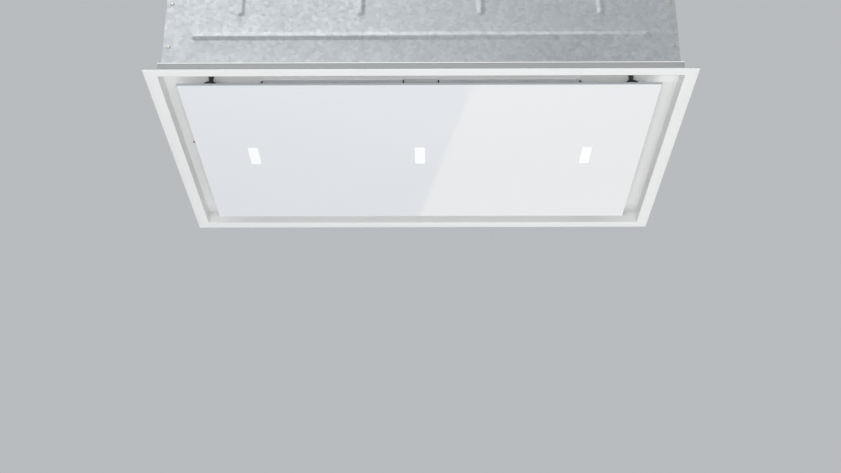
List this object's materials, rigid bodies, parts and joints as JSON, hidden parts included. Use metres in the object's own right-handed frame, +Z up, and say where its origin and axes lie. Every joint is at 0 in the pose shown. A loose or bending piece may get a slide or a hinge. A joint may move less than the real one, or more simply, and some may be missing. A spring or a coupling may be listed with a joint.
{
  "type": "ceiling range hood",
  "caption": "Flush ceiling extractor hood: white trim frame round a glass panel with rectangular lights and an intake gap, hinged to drop open, filter behind, blower box above.",
  "frame": {"origin": "centre of the trim frame's visible lower face", "axes": "+X along the long side, +Y away from the side with the catches towards the hinged side, +Z up into the ceiling"},
  "size_m": [0.9, 0.6, 0.315],
  "materials": {
    "white_paint": "satin white powder coat",
    "white_glass": "glossy glass painted white on its back",
    "light_window": "frosted light window, lit",
    "galvanised": "galvanised sheet steel",
    "carrier_steel": "light grey coated steel",
    "filter_metal": "satin aluminium",
    "fastener_steel": "zinc plated steel",
    "black_plastic": "moulded black plastic",
    "grey_plastic": "moulded grey plastic",
    "white_plastic": "moulded white plastic",
    "spring_steel": "spring steel strip",
    "rubber": "soft black rubber",
    "motor_metal": "grey cast end shields",
    "circuit_board": "green laminate with components",
    "red_lens": "red translucent indicator, lit"
  },
  "bodies": {
    "root": {"trim_frame": "white_paint", "recess_plate": "white_paint", "plate_screws": "fastener_steel", "housing_top": "galvanised", "housing_wall_near": "galvanised", "housing_wall_far": "galvanised", "end_plate_left": "galvanised", "end_plate_right": "galvanised", "shell_rivets": "fastener_steel", "duct_collar": "black_plastic", "collar_screws": "fastener_steel", "flap_pin": "fastener_steel", "scroll_wrap": "galvanised", "scroll_side_left": "galvanised", "scroll_side_right": "galvanised", "inlet_ring_left": "grey_plastic", "inlet_ring_right": "grey_plastic", "blower_screws": "fastener_steel", "motor_body": "motor_metal", "motor_bracket": "galvanised", "motor_grommets": "rubber", "motor_screws": "fastener_steel", "electronics_box": "galvanised", "electronics_cover": "galvanised", "control_board": "circuit_board", "terminal_block": "white_plastic", "led_driver": "white_plastic", "capacitor": "white_plastic", "cable_gland": "grey_plastic", "hanging_brackets": "galvanised", "bracket_screws": "fastener_steel", "filter_frame": "filter_metal", "filter_mesh": "filter_metal", "hinge_bracket_left": "galvanised", "hinge_bracket_right": "galvanised", "hinge_pin_left": "fastener_steel", "hinge_pin_right": "fastener_steel", "catch_clip_left": "spring_steel", "catch_clip_right": "spring_steel", "indicator_lens": "red_lens", "indicator_board": "circuit_board"},
    "panel": {"glass_panel": "white_glass", "panel_carrier": "carrier_steel", "led_lens_left": "light_window", "led_lens_centre": "light_window", "led_lens_right": "light_window", "led_housings": "black_plastic", "led_boards": "circuit_board", "hinge_leaf_left": "galvanised", "hinge_leaf_right": "galvanised", "catch_stud_left": "black_plastic", "catch_stud_right": "black_plastic"},
    "filter_latch": {"latch_handle": "filter_metal", "latch_spring": "spring_steel"},
    "fan": {"blower_wheel": "black_plastic", "motor_shaft": "fastener_steel"},
    "near_flap": {"flap_near": "grey_plastic"},
    "far_flap": {"flap_far": "grey_plastic"}
  },
  "joints": [
    {"name": "panel_hinge", "type": "hinge", "parent": "root", "child": "panel", "pos_m": [0, 0.247, 0.012], "axis": [1, 0, 0], "range_deg": [0, 90]},
    {"name": "latch_slide", "type": "slide", "parent": "root", "child": "filter_latch", "axis": [0, 1, 0], "range_m": [0, 0.006], "stiffness_N_per_m": 700, "springref_m": -0.006},
    {"name": "fan_spin", "type": "hinge", "parent": "root", "child": "fan", "pos_m": [0, -0.057, 0.15], "axis": [1, 0, 0], "continuous": true},
    {"name": "near_flap_hinge", "type": "hinge", "parent": "root", "child": "near_flap", "pos_m": [0, 0, 0.272], "axis": [-1, 0, 0], "range_deg": [0, 75]},
    {"name": "far_flap_hinge", "type": "hinge", "parent": "root", "child": "far_flap", "pos_m": [0, 0, 0.272], "axis": [1, 0, 0], "range_deg": [0, 75]}
  ]
}
